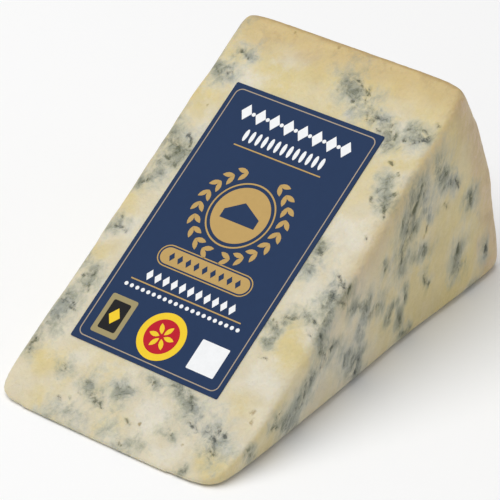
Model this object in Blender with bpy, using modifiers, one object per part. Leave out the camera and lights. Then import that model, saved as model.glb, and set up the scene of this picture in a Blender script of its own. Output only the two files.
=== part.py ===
"""A wedge of blue-veined cheese with a paper label on its upper cut face.

Run with blender --background --python part.py, or from the text editor. Metres, +Z up.
The wedge is a slice of a flat round of cheese. It lies on one cut face, with its thin end towards -X,
its rind towards +X and the flat end of the round towards -Y. The origin is on the table, under its middle.
"""

import math

import bmesh
import bpy
from mathutils import Matrix, Vector

# The wedge's driving sizes
WHEEL_RADIUS = 0.100
WEDGE_ANGLE = math.radians(30.0)
WEDGE_WIDTH = 0.0572
BLUNT_TIP = 0.0014
AXIS_X = -0.05064

# How round the worn edges are: the distance of the cage's support loops from each edge
TIP_LOOP = 0.0040
RIND_LOOP = 0.0034
FLAT_END_LOOP = 0.0042
CUT_FACE_LOOP = 0.0042
CUT_FACE_LOOP_SHARE = 0.3
LOOP_PITCH = 0.0115
SUBDIVISIONS = 2

# The four corners as seen from above, as (at the rind end, on the near side, corner radius)
PLAN_CORNERS = (
    (False, True, 0.0078),
    (False, False, 0.0062),
    (True, True, 0.0045),
    (True, False, 0.0025),
)

# The near flat end: its foot has sunk in a shallow hollow, and its upper edge stands out as a low lip
HOLLOW_DEPTH = 0.0010
HOLLOW_RADIUS_AT = 0.064
HOLLOW_REACH = 0.028
LIP_DEPTH = 0.0015
LIP_RISES = (0.002, 0.012)
LIP_FADES = (0.045, 0.080)

# Relief: (texture size, depth)
CUT_RELIEF = (0.016, 0.0007)
CRUMB_RELIEF = (0.0045, 0.0003)
RIND_RELIEF = (0.0050, 0.0011)
RELIEF_STARTS_AT = 0.0008
RELIEF_FULL_AT = 0.0060
EDGE_SMOOTH_TO = 0.0020
EDGE_RELIEF_FULL = 0.0080
RIND_DEPTH = 0.0022
COPLANAR_WITHIN = math.radians(0.05)

# The paper label
LABEL_LENGTH = 0.0640
LABEL_WIDTH = 0.0375
LABEL_THICKNESS = 0.0003
LABEL_GAP = 0.0003
LABEL_RADIUS_AT = 0.0510
LABEL_Y = 0.0010
LABEL_TWIST = math.radians(-0.25)
FLAT_BEYOND_LABEL = 0.0005
LABEL_MARGIN = 0.004

PASTE_COLOUR = (0.68, 0.57, 0.34)
LABEL_COLOUR = (0.020, 0.045, 0.115)


def clear_scene():
    for obj in list(bpy.data.objects):
        bpy.data.objects.remove(obj, do_unlink=True)


def make_collection(name):
    collection = bpy.data.collections.new(name)
    bpy.context.scene.collection.children.link(collection)
    return collection


def make_material(name, colour, roughness):
    material = bpy.data.materials.new(name)
    material.use_nodes = True
    shader = material.node_tree.nodes["Principled BSDF"]
    shader.inputs["Base Color"].default_value = (*colour, 1.0)
    shader.inputs["Roughness"].default_value = roughness
    shader.inputs["Metallic"].default_value = 0.0
    return material


def add_object(name, mesh, collection, material=None):
    obj = bpy.data.objects.new(name, mesh)
    collection.objects.link(obj)
    if material:
        mesh.materials.clear()
        mesh.materials.append(material)
    return obj


def smoothstep(value, low, high):
    share = min(1.0, max(0.0, (value - low) / (high - low)))
    return share * share * (3.0 - 2.0 * share)


def stations(start, end, first_loop, last_loop):
    """Places of the loops along an edge: a support loop near each end, and even loops between them."""
    first, last = start + first_loop, end - last_loop
    count = max(1, round((last - first) / LOOP_PITCH))
    return [start] + [first + (last - first) * i / count for i in range(count + 1)] + [end]


def block_of_cells(cells):
    """A cube primitive, scaled and cut by loops into unit cells, so that a vertex's place is its loop numbers."""
    bm = bmesh.new()
    bmesh.ops.create_cube(bm, size=1.0)
    placed = Matrix.Diagonal((*cells, 1.0)) @ Matrix.Translation((0.5, 0.5, 0.5))
    bmesh.ops.transform(bm, matrix=placed, verts=bm.verts)
    for axis, count in enumerate(cells):
        for cut in range(1, count):
            place, normal = Vector(), Vector()
            place[axis] = cut
            normal[axis] = 1.0
            geometry = bm.verts[:] + bm.edges[:] + bm.faces[:]
            bmesh.ops.bisect_plane(bm, geom=geometry, plane_co=place, plane_no=normal)
    return bm


def angle_of_layer(layer, layers, radius):
    """A layer's angle above the lower cut face. The outer layers keep their distance from the cut faces."""
    edge = min(CUT_FACE_LOOP / (radius * WEDGE_ANGLE), CUT_FACE_LOOP_SHARE)
    if layer == 0:
        return 0.0
    if layer == layers:
        return WEDGE_ANGLE
    inner = (layer - 1) / (layers - 2)
    return WEDGE_ANGLE * (edge + (1.0 - 2.0 * edge) * inner)


def rounded_in_plan(radius, y):
    """Pulls a point outside one of the rounded corners back onto its arc."""
    for at_rind, near, corner in PLAN_CORNERS:
        end, outwards = (WHEEL_RADIUS, 1.0) if at_rind else (BLUNT_TIP, -1.0)
        side = -1.0 if near else 1.0
        centre = Vector((end - outwards * corner, side * (WEDGE_WIDTH / 2 - corner)))
        away = Vector((radius, y)) - centre
        if away.x * outwards > 0.0 and away.y * side > 0.0 and away.length > corner:
            radius, y = centre + away.normalized() * corner
    return radius, y


def sunk_in(radius, height):
    """How far the near flat end lies in from its plane. The height runs from 0 at the foot to 1 at the top."""
    reach = abs(radius - HOLLOW_RADIUS_AT) / HOLLOW_REACH
    hollow = HOLLOW_DEPTH * (1.0 - smoothstep(reach, 0.0, 1.0))
    lip = LIP_DEPTH * smoothstep(radius, *LIP_RISES) * (1.0 - smoothstep(radius, *LIP_FADES))
    return hollow * (1.0 - height) - lip * height


def wedge_cage():
    """The coarse cage: a block of cells wrapped round the wheel's axis, which runs along Y."""
    radii = stations(BLUNT_TIP, WHEEL_RADIUS, TIP_LOOP, RIND_LOOP)
    widths = stations(-WEDGE_WIDTH / 2, WEDGE_WIDTH / 2, FLAT_END_LOOP, FLAT_END_LOOP)
    layers = len(stations(0.0, WHEEL_RADIUS * WEDGE_ANGLE, CUT_FACE_LOOP, CUT_FACE_LOOP)) - 1

    bm = block_of_cells((len(radii) - 1, len(widths) - 1, layers))
    for vertex in bm.verts:
        i, j, k = (round(c) for c in vertex.co)
        angle = angle_of_layer(k, layers, radii[i])
        radius, y = rounded_in_plan(radii[i], widths[j])
        if j == 0:
            y += sunk_in(radius, k / layers)
        vertex.co = (AXIS_X + radius * math.cos(angle), y, radius * math.sin(angle))
    bmesh.ops.recalc_face_normals(bm, faces=bm.faces)
    mesh = bpy.data.meshes.new("wedge_cage")
    bm.to_mesh(mesh)
    bm.free()
    return mesh


def subdivided(mesh, collection):
    """The cage's smooth form as a mesh of its own."""
    cage = add_object("wedge_cage", mesh, collection)
    surface = cage.modifiers.new("Soft edges", "SUBSURF")
    surface.levels = surface.render_levels = SUBDIVISIONS
    bpy.context.view_layer.update()
    smooth = bpy.data.meshes.new_from_object(cage.evaluated_get(bpy.context.evaluated_depsgraph_get()))
    bpy.data.objects.remove(cage, do_unlink=True)
    return smooth


def label_frame():
    """The label's place: X along its length, Z out of the upper cut face."""
    tilt = Matrix.Rotation(-WEDGE_ANGLE, 4, "Y")
    up = LABEL_GAP + LABEL_THICKNESS / 2
    along_face = Matrix.Translation((LABEL_RADIUS_AT, LABEL_Y, up)) @ Matrix.Rotation(LABEL_TWIST, 4, "Z")
    return Matrix.Translation((AXIS_X, 0.0, 0.0)) @ tilt @ along_face


def clear_of_label(point):
    """0 under the label, where the cut face stays flat, and 1 away from it."""
    local = label_frame().inverted() @ point
    beyond = max(abs(local.x) - LABEL_LENGTH / 2, abs(local.y) - LABEL_WIDTH / 2)
    if local.z < -LABEL_MARGIN:
        return 1.0
    return smoothstep(beyond, FLAT_BEYOND_LABEL, LABEL_MARGIN)


def clear_of_edges(point):
    """0 on the flat underside and along the smooth upper edge of the rind, and 1 away from both."""
    radius = math.hypot(point.x - AXIS_X, point.z)
    angle = math.atan2(point.z, point.x - AXIS_X)
    from_edge = math.hypot(WHEEL_RADIUS - radius, radius * (WEDGE_ANGLE - angle))
    return smoothstep(point.z, RELIEF_STARTS_AT, RELIEF_FULL_AT) * smoothstep(
        from_edge, EDGE_SMOOTH_TO, EDGE_RELIEF_FULL
    )


def relief_weight(point):
    """Where the cut faces may rise and sink: not under the label, and not at the smooth edges."""
    return clear_of_label(point) * clear_of_edges(point)


def rind_weight(point):
    radius = math.hypot(point.x - AXIS_X, point.z)
    on_rind = smoothstep(radius, WHEEL_RADIUS - RIND_DEPTH, WHEEL_RADIUS - RIND_DEPTH / 2)
    return on_rind * clear_of_edges(point)


def add_relief(obj, name, size, depth, weight):
    """A Displace modifier with a cloud texture, weighted by a vertex group."""
    group = obj.vertex_groups.new(name=name)
    for vertex in obj.data.vertices:
        group.add([vertex.index], weight(vertex.co), "REPLACE")
    texture = bpy.data.textures.new(name, "CLOUDS")
    texture.noise_scale = size
    texture.noise_depth = 1
    relief = obj.modifiers.new(name, "DISPLACE")
    relief.texture = texture
    relief.texture_coords = "LOCAL"
    relief.strength = depth
    relief.mid_level = 0.5
    relief.vertex_group = name


def make_cheese(collection):
    """The wedge itself, one solid of paste, veins and rind."""
    material = make_material("Blue cheese paste", PASTE_COLOUR, 0.5)
    cheese = add_object("cheese", subdivided(wedge_cage(), collection), collection, material)
    add_relief(cheese, "Cut relief", *CUT_RELIEF, relief_weight)
    add_relief(cheese, "Crumb relief", *CRUMB_RELIEF, relief_weight)
    add_relief(cheese, "Rind relief", *RIND_RELIEF, rind_weight)
    joined = cheese.modifiers.new("One face where flat", "DECIMATE")
    joined.decimate_type = "DISSOLVE"
    joined.angle_limit = COPLANAR_WITHIN
    cheese.data.shade_smooth()
    return cheese


def make_label(collection):
    """The paper label, a thin plate parallel to the upper cut face."""
    bm = bmesh.new()
    bmesh.ops.create_cube(bm, size=1.0)
    size = Matrix.Diagonal((LABEL_LENGTH, LABEL_WIDTH, LABEL_THICKNESS, 1.0))
    bmesh.ops.transform(bm, matrix=size, verts=bm.verts)
    mesh = bpy.data.meshes.new("label")
    bm.to_mesh(mesh)
    bm.free()
    material = make_material("Navy label paper", LABEL_COLOUR, 0.45)
    label = add_object("label", mesh, collection, material)
    label.matrix_world = label_frame()
    return label


def main():
    clear_scene()
    collection = make_collection("cheese_wedge")
    make_cheese(collection)
    make_label(collection)


main()
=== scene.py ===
"""Looks of a wedge of blue-veined cheese with a paper label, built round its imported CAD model.

Metres, +Z up. The wedge lies on one cut face, with its thin end towards -X and its rind towards +X.
Places on it are written in millimetres, as the lists of veins say.
"""

import math
import random

import bmesh
import bpy
import numpy as np
from mathutils import Matrix, Vector, noise


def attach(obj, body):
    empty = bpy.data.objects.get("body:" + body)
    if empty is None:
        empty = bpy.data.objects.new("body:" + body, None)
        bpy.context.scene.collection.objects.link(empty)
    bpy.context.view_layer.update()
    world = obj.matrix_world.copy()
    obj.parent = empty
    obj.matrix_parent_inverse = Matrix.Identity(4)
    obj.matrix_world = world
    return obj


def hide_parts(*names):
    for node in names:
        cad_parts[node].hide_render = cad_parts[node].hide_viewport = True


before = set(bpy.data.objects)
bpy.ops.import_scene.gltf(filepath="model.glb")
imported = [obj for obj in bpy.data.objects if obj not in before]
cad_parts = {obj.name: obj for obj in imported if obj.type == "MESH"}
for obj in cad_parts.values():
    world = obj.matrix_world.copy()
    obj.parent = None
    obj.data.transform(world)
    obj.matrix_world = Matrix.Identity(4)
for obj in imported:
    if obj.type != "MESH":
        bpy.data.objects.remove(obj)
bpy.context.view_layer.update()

bl_info = {
    "name": "Blue Cheese Wedge",
    "version": (1, 0, 0),
    "blender": (4, 5, 0),
    "location": "View3D > Sidebar > Cheese",
    "description": "Makes a labelled wedge of blue cheese, piece by piece",
    "category": "Add Mesh",
}

MM = 0.001

# The wedge, as the CAD model has it
WHEEL_RADIUS = 0.100
WEDGE_ANGLE = math.radians(30.0)
WEDGE_WIDTH = 0.0572
AXIS_X = -0.05064
LABEL_LENGTH = 0.0640
LABEL_WIDTH = 0.0375
LABEL_TWIST = math.radians(-0.25)
LABEL_ABOVE_CHEESE = 0.00045

# The label's layers: the paper's lift off the cheese, the ink's thickness, how far it sinks in and the
# depth of the paper's grain
PAPER_LIFT = 0.00003
INK = 0.00002
INK_SUNK = 0.00001
PAPER_GRAIN = 0.00002

# Corners of the label's repeated shapes, and its white rows: (count, height on the label, half span,
# (length, width), corners), in mm
ROUND, LOZENGE = 12, 4
WHITE_ROWS = (
    (8, 26.4, 12.6, (2.6, 3.9), LOZENGE),
    (7, 26.4, 10.8, (0.9, 0.9), ROUND),
    (13, 21.6, 9.6, (0.95, 2.9), ROUND),
    (11, -13.9, 10.5, (1.6, 2.6), LOZENGE),
    (21, -17.4, 14.2, (0.9, 0.9), ROUND),
)

# How the smears of the flat ends lean and how far they are drawn out
SMEAR_LEAN = math.radians(-17.0)
SMEAR_SQUEEZE = 0.45

# Where the camera aims, and how far it is moved to its right and up
VIEW_TARGET = Vector((0.0, 0.0, 0.020))
VIEW_SHIFT = (-0.00048, -0.00073)

# The floor, and the lights: (name, place, width, watts)
FLOOR_HALF_WIDTH = 2.0
FLOOR_BELOW_WEDGE = 0.0001
WORLD_STRENGTH = 0.35
LIGHTS = (
    ("key", (-0.25, 0.30, 1.20), 1.5, 13.8),
    ("fill", (0.20, -0.90, 0.22), 0.8, 0.65),
)

# Veins of the upper cut face: (half width, (up the face, across), ...), in mm from its thin edge
CUT_HAZE = (
    (2.9, (91.5, -3.5), (89.5, -8.0)), (2.0, (87.0, -9.0), (85.5, -15.0), (82.5, -19.0)),
    (1.8, (86.5, -22.5), (85.0, -26.0)), (1.7, (90.0, 23.5), (89.5, 20.5)),
    (1.9, (85.5, 27.5), (84.3, 23.0)), (3.1, (66.5, 26.0), (64.0, 22.5), (61.5, 24.0)),
    (1.8, (58.5, 23.0), (55.5, 26.5)), (1.8, (74.5, -24.0), (71.5, -25.0), (69.0, -27.0)),
    (1.9, (56.5, -19.0), (51.5, -19.5)), (2.5, (48.8, -27.6), (46.0, -28.3), (42.5, -29.0)),
    (1.4, (40.0, -21.0), (41.5, -25.0)), (1.5, (38.2, -18.5), (37.2, -21.0)),
    (1.3, (34.6, -21.3), (33.5, -20.5)), (1.5, (45.5, 25.0), (43.5, 26.0)),
    (1.8, (33.0, 23.5), (30.5, 23.5)), (2.7, (26.5, 25.5), (23.0, 26.0), (20.5, 26.0)),
    (1.8, (18.0, 27.5), (13.5, 27.5)), (2.2, (18.5, -8.5), (17.0, -12.5), (13.5, -15.0)),
    (1.9, (17.3, -1.5), (16.3, -3.5)), (1.6, (12.7, 16.8), (12.2, 16.3)), (2.1, (13.0, 3.0), (12.3, 0.5)),
    (2.0, (11.3, 10.0), (9.0, 6.5)), (2.7, (13.5, -20.5), (11.5, -22.5), (8.8, -22.5)),
    (1.5, (9.2, -12.3), (9.0, -13.2)), (1.3, (4.0, -19.5), (2.3, -19.8)),
)
CUT_THREADS = (
    (0.6, (89.0, -2.6), (89.8, -4.5), (90.4, -6.5), (91.6, -8.5)), (0.8, (91.4, -7.6), (90.4, -8.9)),
    (0.6, (92.6, -5.2), (92.0, -7.0)), (0.5, (89.0, -9.0), (88.2, -9.9)),
    (0.5, (88.0, -6.6), (87.4, -7.5)), (0.5, (86.0, -11.4), (85.0, -11.8)),
    (0.6, (85.3, -13.2), (86.3, -14.2)), (0.5, (84.3, -14.8), (83.7, -16.2)),
    (0.6, (85.2, -18.0), (84.4, -19.4), (83.2, -19.6)), (0.5, (81.5, -19.0), (80.6, -19.2)),
    (0.6, (83.9, -22.2), (83.6, -23.7), (84.6, -25.2), (86.0, -26.8)),
    (0.5, (87.2, -25.2), (86.2, -26.2)), (0.5, (89.8, -27.0), (89.3, -27.2)),
    (0.5, (90.0, 23.0), (89.6, 21.6), (89.0, 20.6)), (0.5, (85.2, 23.0), (84.4, 22.6), (84.2, 24.0)),
    (0.6, (68.0, 22.6), (67.0, 21.0), (66.2, 20.6)), (0.6, (65.6, 24.2), (64.6, 22.6), (63.6, 22.8)),
    (0.6, (63.2, 25.6), (62.0, 23.8), (61.2, 21.4)), (0.6, (61.6, 22.6), (60.8, 21.2)),
    (0.5, (66.8, 26.4), (65.6, 26.2)), (0.5, (55.8, 25.2), (54.9, 26.4)),
    (0.5, (78.3, -22.2), (77.8, -22.8)), (0.5, (76.8, -24.6), (76.2, -25.2)),
    (0.6, (71.0, -25.2), (71.3, -26.3), (72.3, -27.0)), (0.6, (69.4, -22.8), (68.6, -23.5)),
    (0.7, (69.0, -26.2), (68.0, -27.2), (67.2, -27.6)), (0.5, (61.6, -26.5), (61.0, -26.9)),
    (0.6, (62.6, -28.4), (61.8, -28.9)), (0.6, (55.9, -18.6), (54.9, -19.9)),
    (0.6, (51.9, -26.2), (51.0, -27.2), (50.2, -29.2)),
    (0.7, (48.8, -26.8), (47.4, -27.4), (47.2, -29.4)), (0.7, (46.0, -27.2), (44.6, -28.4)),
    (0.6, (43.2, -28.6), (41.2, -29.4)), (0.6, (40.2, -21.4), (40.6, -22.8), (41.6, -24.2)),
    (0.6, (38.4, -18.4), (38.0, -19.6), (37.2, -21.0)), (0.5, (39.2, -26.4), (38.4, -27.6)),
    (0.5, (41.4, -26.9), (41.0, -27.8)), (0.5, (33.6, -20.2), (34.6, -21.4)),
    (0.4, (30.4, -20.3), (30.3, -22.0)), (0.5, (47.2, 25.6), (45.6, 25.0), (44.4, 25.2), (43.0, 26.4)),
    (0.5, (44.6, 24.8), (43.8, 22.4)), (0.5, (33.6, 22.8), (32.3, 23.9), (31.8, 25.6)),
    (0.5, (30.6, 22.8), (29.2, 22.4)), (0.5, (27.2, 27.0), (26.6, 25.2), (25.6, 23.2)),
    (0.5, (24.8, 23.8), (24.6, 22.6)), (0.5, (21.4, 25.0), (20.4, 24.2)),
    (0.7, (15.6, 26.6), (13.8, 27.2), (12.8, 26.0)), (0.5, (17.8, -12.2), (16.4, -12.4), (15.2, -14.0)),
    (0.5, (12.8, -14.8), (11.6, -17.2)), (0.4, (15.7, -10.1), (15.5, -10.3)),
    (0.5, (17.4, -2.6), (16.4, -3.2)), (0.6, (12.9, 16.8), (12.2, 16.3)), (0.6, (9.6, 7.4), (8.6, 6.0)),
    (0.5, (8.6, 4.8), (8.2, 4.0)), (0.4, (9.0, 10.4), (8.8, 9.8)), (0.4, (7.5, 12.0), (7.4, 11.4)),
    (0.5, (6.2, 14.0), (5.8, 13.2)), (0.5, (7.6, -2.2), (7.2, -3.2)), (0.8, (13.8, -21.8), (12.8, -23.4)),
    (0.7, (12.0, -21.0), (11.0, -22.6)), (0.7, (9.2, -22.4), (8.4, -23.6)),
    (0.5, (9.4, -12.4), (8.8, -13.0)), (0.6, (3.0, -3.2), (2.4, -4.4)), (0.6, (3.6, -19.4), (2.2, -19.9)),
)

# Veins of the near flat end: (half width, (along the table, up), ...), in mm from the thin edge's foot
END_HAZE = (
    (2.2, (75.0, 39.0), (75.8, 35.5)), (1.9, (76.0, 34.0), (79.0, 32.0), (81.5, 29.5)),
    (3.7, (68.5, 33.5), (66.0, 30.5), (64.5, 27.5)), (2.3, (66.0, 26.0), (63.0, 24.5), (62.5, 19.5)),
    (1.5, (70.0, 29.0), (72.0, 27.0)), (1.8, (67.0, 20.2), (70.0, 19.3)),
    (1.3, (70.3, 13.5), (71.0, 11.0)), (2.2, (82.5, 14.0), (82.0, 9.5)),
    (1.9, (86.0, 25.0), (86.6, 22.3)), (1.2, (56.6, 24.0), (56.8, 22.0)),
    (2.1, (46.0, 18.5), (50.5, 17.0), (50.5, 14.5), (54.0, 14.6)), (1.2, (48.6, 13.5), (47.8, 10.5)),
    (1.3, (59.3, 12.5), (57.6, 9.3)), (1.1, (63.6, 13.8), (63.4, 10.8)), (1.2, (61.6, 9.0), (61.7, 6.0)),
    (2.6, (44.0, 8.0), (47.0, 6.5), (46.0, 3.5)), (1.3, (62.0, 3.3), (64.5, 3.4)),
    (1.4, (92.0, 9.0), (91.8, 7.0)), (2.8, (41.0, 27.0), (39.5, 24.0), (43.5, 22.5)),
    (2.7, (35.5, 20.0), (36.0, 16.0), (36.5, 12.5)), (2.0, (32.5, 10.6), (30.0, 7.7), (27.0, 5.5)),
    (2.4, (21.5, 6.0), (26.0, 3.5)), (1.4, (11.8, 4.2), (12.6, 3.0)), (1.6, (38.5, 14.0), (41.0, 13.8)),
)
END_THREADS = (
    (0.8, (77.2, 35.0), (78.0, 33.4)), (0.7, (78.8, 32.4), (79.4, 30.0)),
    (0.8, (81.0, 30.4), (82.0, 28.6)), (0.8, (77.2, 26.8), (78.6, 25.4)),
    (0.9, (69.4, 34.6), (68.2, 33.0)), (0.7, (70.6, 33.6), (69.4, 31.8)),
    (0.8, (67.6, 31.8), (66.0, 29.8)), (0.9, (65.8, 28.8), (64.2, 27.0)),
    (0.9, (67.2, 27.2), (65.4, 25.2)), (0.8, (63.6, 25.4), (62.8, 22.8)),
    (0.7, (62.8, 22.0), (62.3, 18.4)), (0.6, (63.4, 30.8), (62.6, 28.8)),
    (0.6, (71.4, 27.4), (70.8, 23.8)), (1.0, (70.2, 20.6), (69.6, 18.6)),
    (0.8, (70.2, 13.4), (70.6, 11.6), (71.8, 10.4)), (0.7, (82.4, 14.6), (82.0, 12.2)),
    (0.7, (81.2, 10.0), (80.4, 8.6)), (0.6, (83.2, 9.6), (84.2, 9.2)), (1.0, (86.0, 24.6), (86.6, 22.4)),
    (0.7, (56.4, 24.2), (56.8, 22.0)), (0.6, (51.0, 18.2), (50.2, 16.6)),
    (0.7, (50.6, 14.2), (54.2, 15.0)), (0.6, (59.4, 12.4), (57.6, 9.0)),
    (0.6, (63.6, 13.6), (63.4, 10.8)), (0.7, (61.4, 8.8), (61.8, 5.8)), (0.7, (43.0, 9.0), (43.2, 6.4)),
    (0.6, (48.4, 7.4), (48.7, 6.8)), (0.5, (47.0, 6.2), (48.0, 5.4)), (0.9, (46.0, 3.6), (46.5, 2.8)),
    (0.6, (62.2, 3.4), (64.0, 3.6)), (0.8, (92.2, 8.8), (91.8, 7.2)),
    (0.8, (40.8, 28.4), (42.4, 27.6), (43.4, 25.0)), (0.9, (37.8, 22.6), (39.0, 24.4), (40.6, 24.0)),
    (0.9, (41.2, 22.6), (43.4, 21.2)), (0.8, (44.8, 24.2), (44.2, 22.8)),
    (0.7, (31.3, 21.8), (31.9, 20.4)), (0.7, (34.2, 22.2), (35.2, 20.6)),
    (0.7, (35.4, 18.4), (36.0, 16.8)), (0.9, (35.0, 14.6), (36.2, 12.8), (38.6, 13.6)),
    (0.8, (37.0, 12.2), (35.6, 10.8)), (0.7, (32.8, 11.0), (31.8, 9.6)), (0.7, (30.8, 8.6), (29.6, 6.8)),
    (0.7, (27.8, 5.8), (26.4, 5.4)), (0.7, (19.2, 5.0), (20.6, 4.6)), (0.5, (21.0, 7.0), (22.6, 7.4)),
    (0.9, (11.2, 5.2), (12.0, 4.0), (13.4, 2.6)),
)

# Butter-yellow and chalky places of the upper cut face: (reach, (up the face, across)), in mm
BUTTER_PLACES = (
    (9.0, (96.0, 10.0)), (9.0, (95.0, -14.0)), (7.0, (90.0, 3.0)), (6.0, (80.0, -23.0)),
    (5.0, (78.0, 24.5)), (4.5, (50.0, 26.0)), (4.5, (38.0, 27.0)), (5.5, (35.0, -26.0)),
    (5.5, (18.5, -23.0)), (4.5, (14.0, 8.0)), (5.5, (4.0, 16.0)), (5.0, (4.5, 2.0)),
    (5.0, (5.0, -25.0)), (4.0, (11.0, 22.0)),
)
CHALK_PLACES = (
    (5.5, (91.5, 12.0)), (5.0, (86.0, -20.0)), (6.5, (60.0, -22.5)), (5.0, (27.5, -25.0)),
    (6.0, (10.0, -7.0)), (5.0, (84.5, 18.0)), (5.0, (5.0, -15.0)), (5.0, (46.0, -22.0)), (4.5, (6.0, 9.0)),
)

# Olive and rusty specks of the upper cut face and of the near flat end: (reach, place), in mm
CUT_SPECKS = (
    (0.5, (76.0, 23.0)), (0.9, (19.4, -25.9)), (0.7, (17.9, -26.7)), (0.6, (8.2, -5.4)),
    (0.6, (7.8, -16.5)), (0.7, (98.2, 3.6)), (0.7, (97.8, 14.5)), (0.5, (97.4, -10.2)),
)
END_SPECKS = ((0.9, (26.2, 13.0)), (0.8, (28.2, 13.2)), (0.7, (70.0, 23.0)), (0.8, (76.7, 6.0)))

# The kinds of noise that break up the veins
GRAIN_KINDS = ("Broad", "Cloud", "Fine", "Thread", "Speck")

# The waves that make the strokes ragged: their seed, and (size, depth) of each
WAVE_SEED = 5
BROAD_WAVE = (0.0060, 0.0011)
SMALL_WAVE = (0.0022, 0.0007)
THREAD_WAVE = (0.0024, 0.0005)
SOFT_WAVE = (0.0090, 0.0030)

# How much wider the strokes are painted than listed, and the chalky paste round them
HAZE_BREADTH = 1.15
END_THREAD_BREADTH = 0.80
CHALK_BREADTH = 2.1

# Depths below the rind and below the cut face, as (where a change starts, where it is full)
RIND_DEPTHS = (0.0006, 0.0020)
DRIED_DEPTHS = (0.0005, 0.0150)
CRUSTED_DEPTHS = (0.0015, 0.0070)
WOBBLE_SIZE = 0.004

# The tan band along the flat ends' upper edges, partly dried paste and partly painted shade where the
# rounded edge turns from the light: how deep and how wide it is
RIDGE_DEPTH = 0.0062
RIDGE_WIDTH = 0.0021

# Where the relief fades in, as (start, full): away from the label, and above the foot
STILL_ROUND_LABEL = (0.0006, 0.0040)
STILL_FOOT = (0.0006, 0.0050)

# The random veins of the far end and the underside
HIDDEN_SEED = 11
FAR_END_VEINS = 30
UNDERSIDE_VEINS = 46


def length(label, words, value):
    return bpy.props.FloatProperty(
        name=label, description=words, default=value, min=0.0, unit="LENGTH", precision=5
    )


def angle(label, words, degrees):
    return bpy.props.FloatProperty(
        name=label, description=words, default=math.radians(degrees), subtype="ANGLE"
    )


def colour(label, words, value):
    return bpy.props.FloatVectorProperty(
        name=label, description="Colour of " + words, default=value, size=3, min=0.0, max=1.0,
        subtype="COLOR",
    )


class CheeseSettings(bpy.types.PropertyGroup):
    mesh_size: length("Mesh size", "Edge length of the wedge's fine mesh", 0.00049)
    dents: length("Dents", "Depth of the broad dents in the cut faces", 0.00028)
    crumb: length("Crumb", "Depth of the paste's crumbly grain", 0.00010)
    cracks: length("Vein cracks", "Depth of the cracks along the veins", 0.00030)
    crust: length("Rind crust", "Depth of the rind's wrinkles and pits", 0.00090)
    ivory: colour("Ivory", "the plain paste", (0.69, 0.62, 0.45))
    butter: colour("Butter", "the paste's yellow places", (0.68, 0.57, 0.28))
    # Chalk also colours the painted highlights on the flat ends' veins: small pale spots that stand in for
    # wet glints.
    chalk: colour("Chalk", "the white paste round the veins", (0.73, 0.69, 0.57))
    # Tan and rosy tan also colour the band along the flat ends' upper edges, which is partly painted
    # shade.
    tan: colour("Tan", "the dried paste near the rind", (0.61, 0.46, 0.21))
    rosy: colour("Rosy tan", "the dried paste on the flat ends", (0.60, 0.45, 0.27))
    flake: colour("Flake", "the pale streaks in the dried paste", (0.72, 0.58, 0.45))
    bloom: colour("Bloom", "the pale haze round the veins", (0.35, 0.36, 0.26))
    blue_bloom: colour("Blue bloom", "the haze in its bluer places", (0.40, 0.425, 0.375))
    slate: colour("Slate", "the veins' blue-grey middles", (0.155, 0.175, 0.150))
    mould: colour("Mould", "the veins' dark threads", (0.030, 0.041, 0.036))
    olive: colour("Olive mould", "the veins' greener threads", (0.085, 0.095, 0.040))
    rust: colour("Rust", "the olive and rusty specks", (0.30, 0.20, 0.055))
    rim: colour("Rim", "the paste's outermost edge, next to the rind", (0.38, 0.24, 0.10))
    rind: colour("Rind", "the rind", (0.27, 0.18, 0.105))
    rind_pits: colour("Rind pits", "the rind's pits and furrows", (0.10, 0.065, 0.040))
    rind_ochre: colour("Rind ochre", "the rind's ochre patches", (0.42, 0.26, 0.11))
    rind_bloom: colour("Rind bloom", "the powdery bloom on the rind", (0.50, 0.45, 0.36))


class LabelSettings(bpy.types.PropertyGroup):
    thickness: length("Thickness", "Thickness of the label's paper", 0.00013)
    corner: length("Corner", "Radius of the paper's corners", 0.00035)
    navy: colour("Navy", "the printed paper", (0.0160, 0.038, 0.100))
    gold: colour("Gold", "the gold ink", (0.53, 0.35, 0.125))
    line: colour("Line", "the frame line's pale gold ink", (0.43, 0.35, 0.26))
    white: colour("White", "the white ink", (0.90, 0.91, 0.92))
    red: colour("Red", "the red ink", (0.52, 0.010, 0.025))
    yellow: colour("Yellow", "the yellow ink", (0.90, 0.62, 0.030))
    sand: colour("Sand", "the sand ink", (0.36, 0.30, 0.15))
    black: colour("Black", "the black ink", (0.012, 0.012, 0.013))


class StageSettings(bpy.types.PropertyGroup):
    azimuth: angle("Azimuth", "Where the camera stands round the wedge", -50.87)
    elevation: angle("Elevation", "How far the camera looks down", 33.25)
    roll: angle("Roll", "How far the camera leans", -2.06)
    distance: length("Distance", "How far the camera stands from the wedge", 0.6446)
    lens: bpy.props.FloatProperty(name="Lens", description="Focal length in mm", default=230.2)
    floor: colour("Floor", "the floor", (0.97, 0.97, 0.97))


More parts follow.
